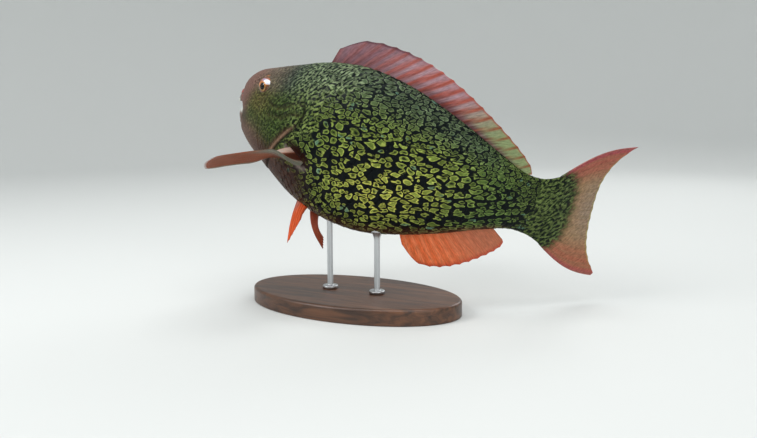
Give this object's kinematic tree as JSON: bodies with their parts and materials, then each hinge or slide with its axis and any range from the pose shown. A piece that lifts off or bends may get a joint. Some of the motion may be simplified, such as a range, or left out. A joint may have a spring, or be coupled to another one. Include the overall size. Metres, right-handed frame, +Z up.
{
  "type": "parrotfish model",
  "caption": "Life-size still model of a parrotfish with a speckled body and red fins, turning as it swims, held over a flat oval base by two short rods.",
  "frame": {"origin": "middle of the flat underside of the stand's base", "axes": "+Z up, the fish faces -X with its left side towards -Y, nose up, head and tail swung towards +Y"},
  "size_m": [0.4155, 0.2912, 0.267],
  "materials": {
    "skin": "satin, scaly, olive marks on a dark ground",
    "fins": "satin, rayed membrane",
    "beak": "enamel",
    "eyes": "glossy",
    "stand_wood": "oiled",
    "stand_steel": "brushed"
  },
  "bodies": {
    "root": {"head": "skin", "gill_cover_left": "skin", "gill_cover_right": "skin", "trunk": "skin", "tail_stalk": "skin", "dorsal_fin": "fins", "anal_fin": "fins", "tail_fin": "fins", "pectoral_fin_left": "fins", "pectoral_fin_right": "fins", "pelvic_fin_left": "fins", "pelvic_fin_right": "fins", "beak_upper": "beak", "beak_lower": "beak", "eye_left": "eyes", "eye_right": "eyes", "stand_base": "stand_wood", "stand_rod_front": "stand_steel", "stand_rod_rear": "stand_steel"}
  },
  "joints": []
}
